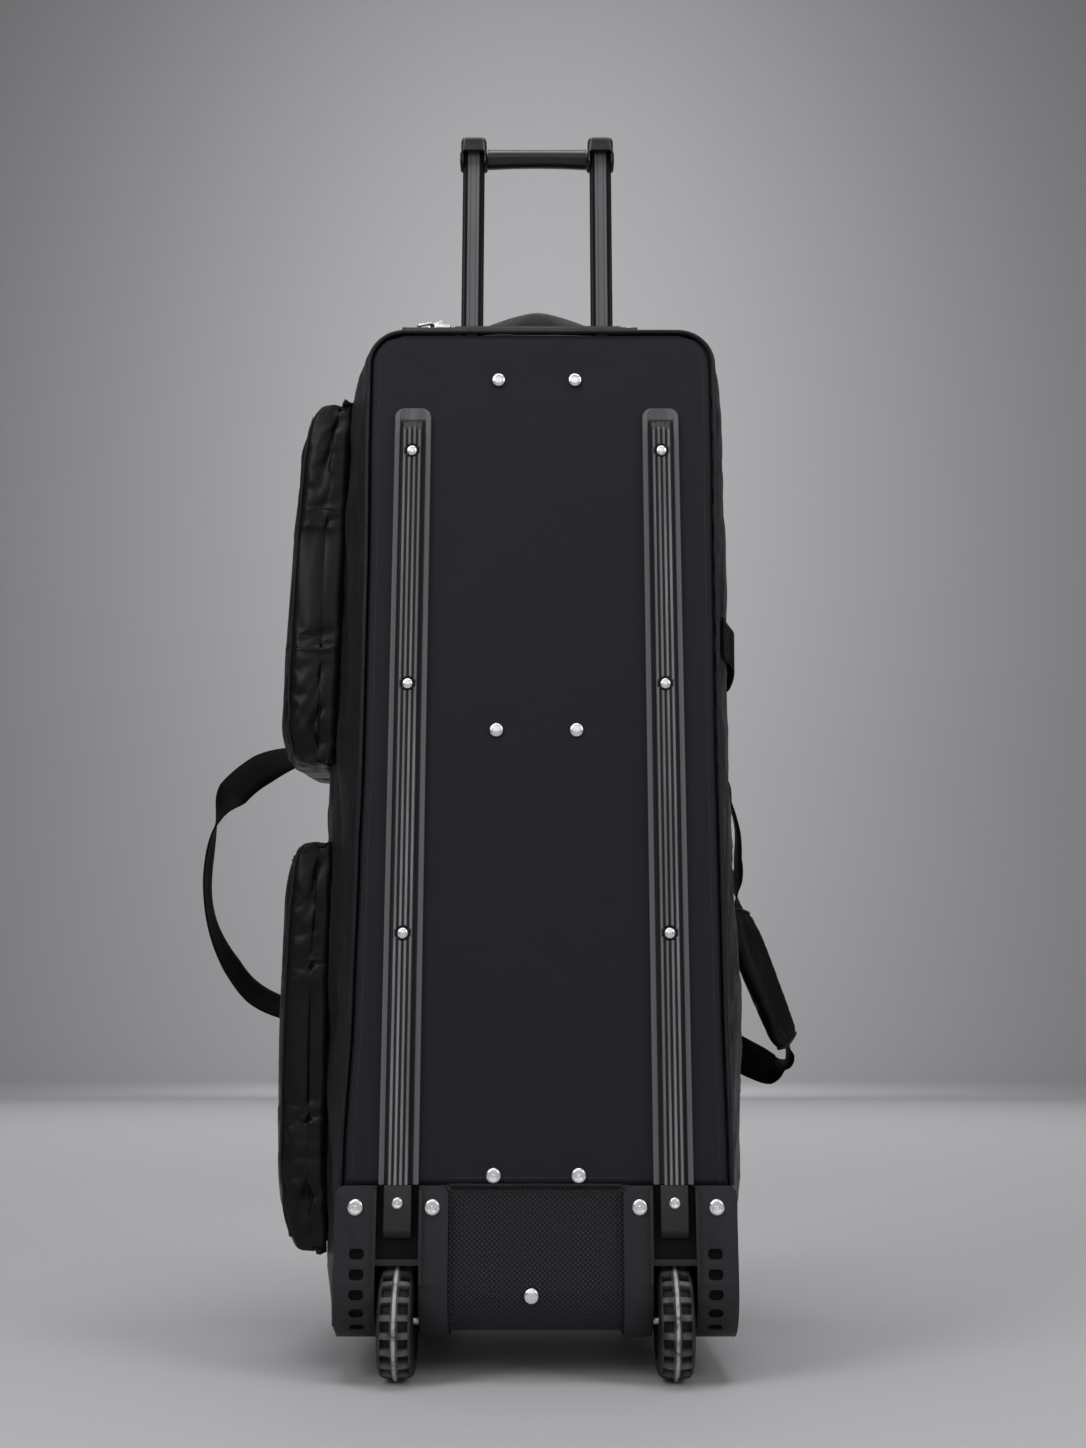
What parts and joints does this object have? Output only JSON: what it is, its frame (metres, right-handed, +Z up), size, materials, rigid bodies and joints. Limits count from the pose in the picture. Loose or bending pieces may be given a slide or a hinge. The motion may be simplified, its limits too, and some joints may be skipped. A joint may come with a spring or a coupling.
{
  "type": "wheeled cricket kit bag",
  "caption": "Upright wheeled cricket kit bag with moulded skid rails, a telescopic pull handle, side pockets, webbing carry straps and lugged wheels in corner guards.",
  "frame": {"origin": "middle of the whole bag's box, on the floor", "axes": "+Z up along the bag and its pull handle, +X across the skid-rail face from the pocket side to the grip-wrap side, +Y from the skid-rail face towards the front"},
  "size_m": [0.646, 0.392, 1.199],
  "materials": {
    "panel_cloth": "smooth woven polyester",
    "base_cloth": "coarse ballistic weave",
    "side_cloth": "plain woven nylon",
    "pocket_cloth": "glossy crinkled nylon",
    "trim": "binding and zip tape",
    "webbing": "woven webbing",
    "rail_plastic": "moulded dark grey",
    "guard_plastic": "fine matt texture",
    "handle_plastic": "moulded satin",
    "tube": "black anodised",
    "nickel": "bright nickel",
    "tyre": "lugged rubber",
    "wheel_plastic": "moulded",
    "steel": "zinc plated"
  },
  "bodies": {
    "bag": {"back_panel": "panel_cloth", "front_panel": "panel_cloth", "base_panel": "base_cloth", "body_wall": "side_cloth", "handle_flap": "side_cloth", "grip_wrap": "side_cloth", "main_zip": "trim", "back_piping": "trim", "base_piping": "trim", "handle_zip": "trim", "upper_pocket_zip": "trim", "lower_pocket_zip": "trim", "upper_pocket": "pocket_cloth", "lower_pocket": "pocket_cloth", "side_handle": "webbing", "left_strap": "webbing", "right_strap": "webbing", "zip_slider": "nickel", "zip_stop": "nickel", "base_stud": "nickel", "trolley_frame": "tube", "rail_left": "rail_plastic", "rail_end_left": "rail_plastic", "guard_left": "guard_plastic", "foot_left": "guard_plastic", "axle_left": "steel", "rail_stud_left_1": "nickel", "panel_stud_left_1": "nickel", "rail_stud_left_2": "nickel", "panel_stud_left_2": "nickel", "rail_stud_left_3": "nickel", "panel_stud_left_3": "nickel", "rail_end_stud_left": "nickel", "guard_screw_outer_left": "nickel", "guard_screw_inner_left": "nickel", "rail_right": "rail_plastic", "rail_end_right": "rail_plastic", "guard_right": "guard_plastic", "foot_right": "guard_plastic", "axle_right": "steel", "rail_stud_right_1": "nickel", "panel_stud_right_1": "nickel", "rail_stud_right_2": "nickel", "panel_stud_right_2": "nickel", "rail_stud_right_3": "nickel", "panel_stud_right_3": "nickel", "rail_end_stud_right": "nickel", "guard_screw_outer_right": "nickel", "guard_screw_inner_right": "nickel"},
    "handle": {"handle_tube_left": "tube", "handle_tube_right": "tube", "handle_cap_left": "handle_plastic", "handle_cap_right": "handle_plastic", "handle_grip": "handle_plastic"},
    "wheel_left": {"tyre_left": "tyre", "hub_left": "wheel_plastic"},
    "wheel_right": {"tyre_right": "tyre", "hub_right": "wheel_plastic"},
    "pull": {"zip_pull": "nickel"}
  },
  "joints": [
    {"name": "handle_slide", "type": "slide", "parent": "bag", "child": "handle", "axis": [0, 0, 1], "range_m": [-0.178, 0]},
    {"name": "wheel_left_spin", "type": "hinge", "parent": "bag", "child": "wheel_left", "pos_m": [-0.07658, -0.146, 0.05], "axis": [1, 0, 0], "continuous": true},
    {"name": "wheel_right_spin", "type": "hinge", "parent": "bag", "child": "wheel_right", "pos_m": [0.16442, -0.146, 0.05], "axis": [1, 0, 0], "continuous": true},
    {"name": "zip_pull_swing", "type": "hinge", "parent": "bag", "child": "pull", "pos_m": [-0.05108, -0.147, 0.99618], "axis": [0, 1, 0], "range_deg": [0, 95]}
  ]
}
